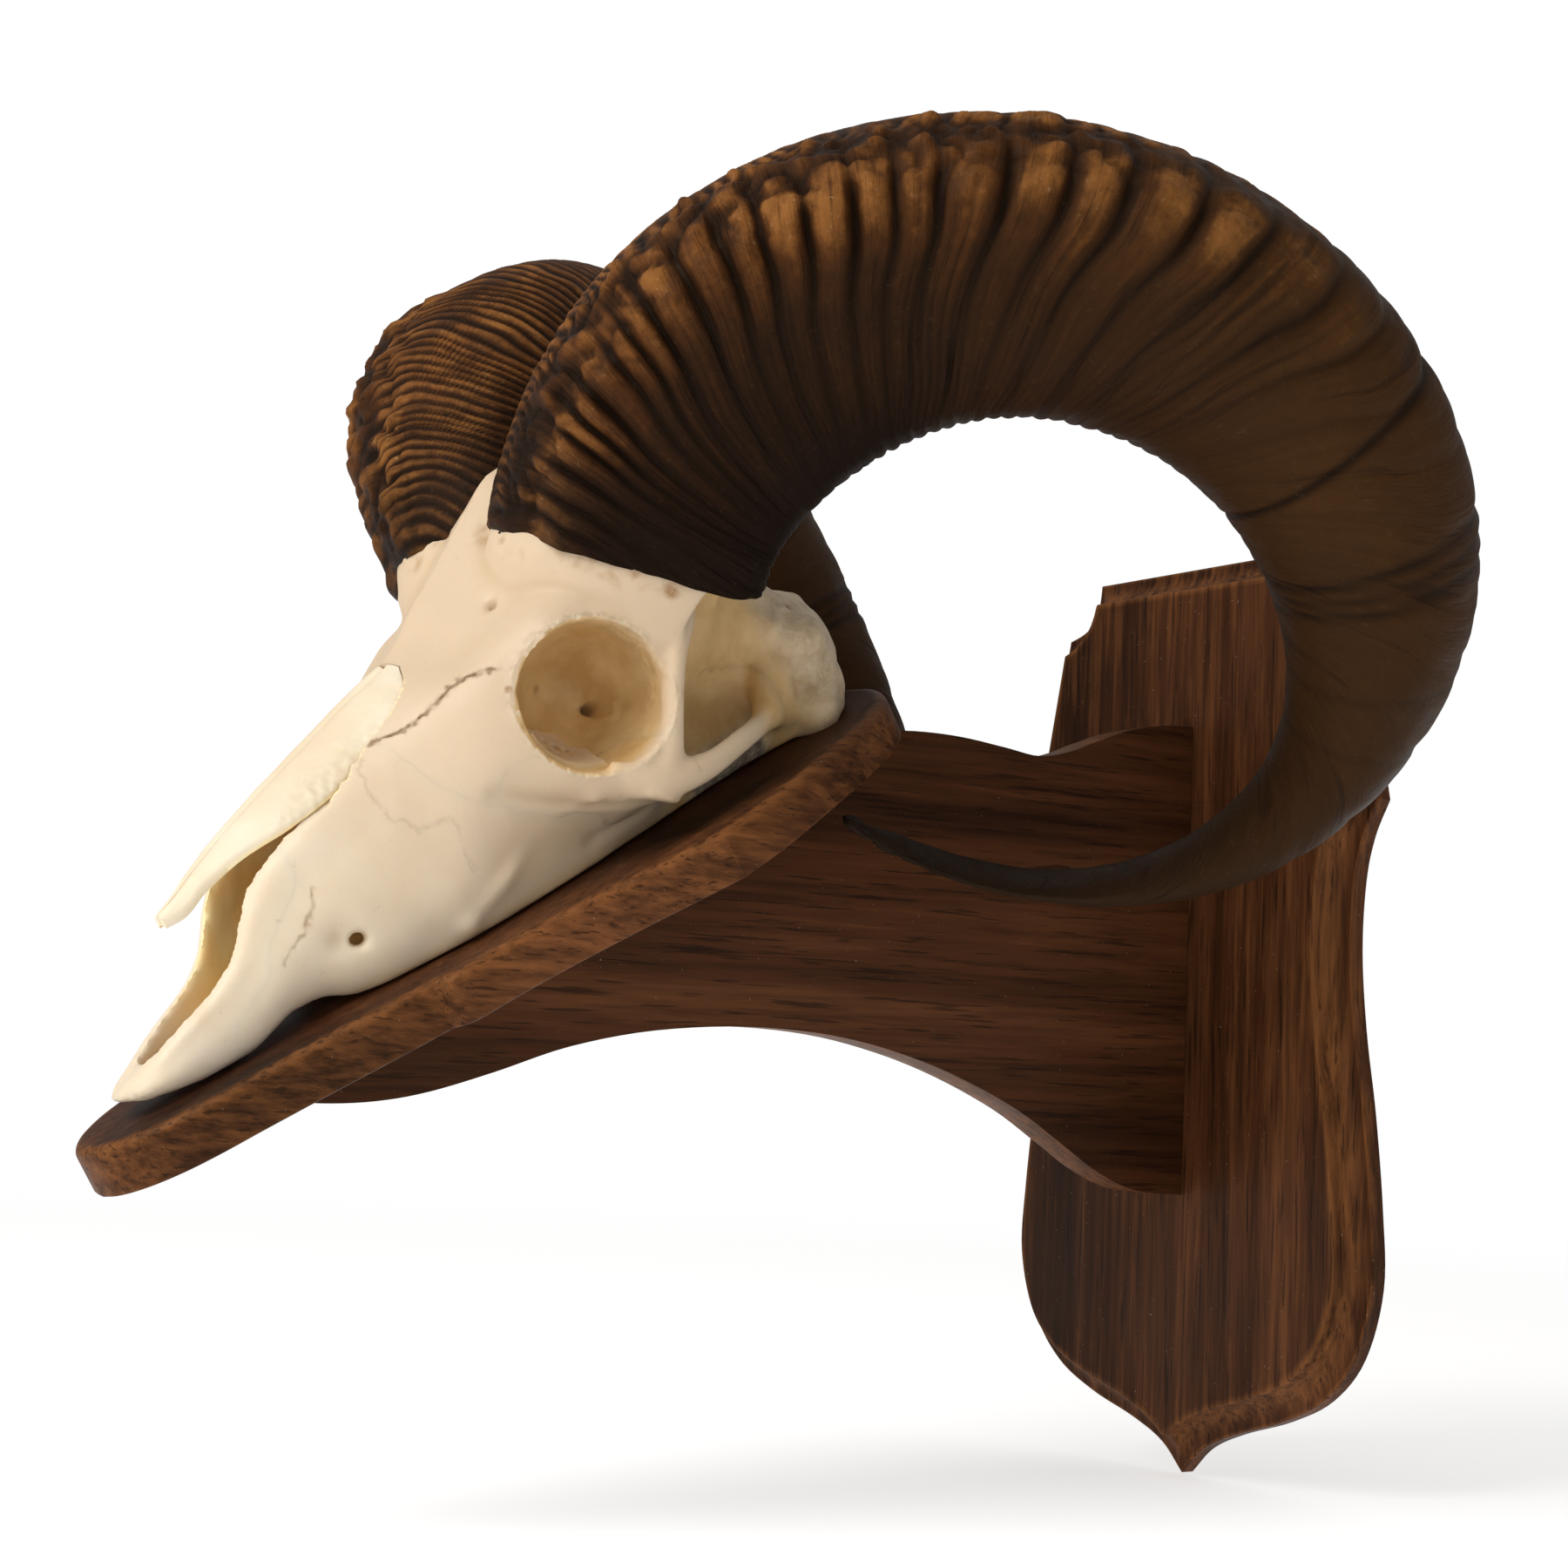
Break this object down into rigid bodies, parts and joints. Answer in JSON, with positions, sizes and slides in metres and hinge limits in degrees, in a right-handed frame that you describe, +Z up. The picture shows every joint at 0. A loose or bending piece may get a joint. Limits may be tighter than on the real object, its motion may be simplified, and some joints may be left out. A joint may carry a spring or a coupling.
{
  "type": "mounted ram skull",
  "caption": "Ram skull with curled, ribbed horns, resting on a sloping wooden board that an arm holds out from a moulded wall plate.",
  "frame": {"origin": "middle of the wall plate's flat back face, half way up its height and on the midline", "axes": "+Z up; +Y out of the plate's back, into the wall, so the muzzle points to -Y; +X is the animal's left"},
  "size_m": [0.3766, 0.3871, 0.388],
  "materials": {
    "wood": "dark walnut stain under a thin satin wax, worn lighter along the board's edges",
    "bone": "dry bleached bone, smooth and slightly satin, rough at sutures and broken edges",
    "horn": "dark brown keratin with heavy cross ribs, satin on the crests"
  },
  "bodies": {
    "root": {"wall_plate": "wood", "arm": "wood", "board": "wood", "cranium": "bone", "maxilla_left": "bone", "maxilla_right": "bone", "premaxilla_left": "bone", "premaxilla_right": "bone", "nasal_left": "bone", "nasal_right": "bone", "malar_left": "bone", "malar_right": "bone", "horn_left": "horn", "horn_right": "horn"}
  },
  "joints": []
}
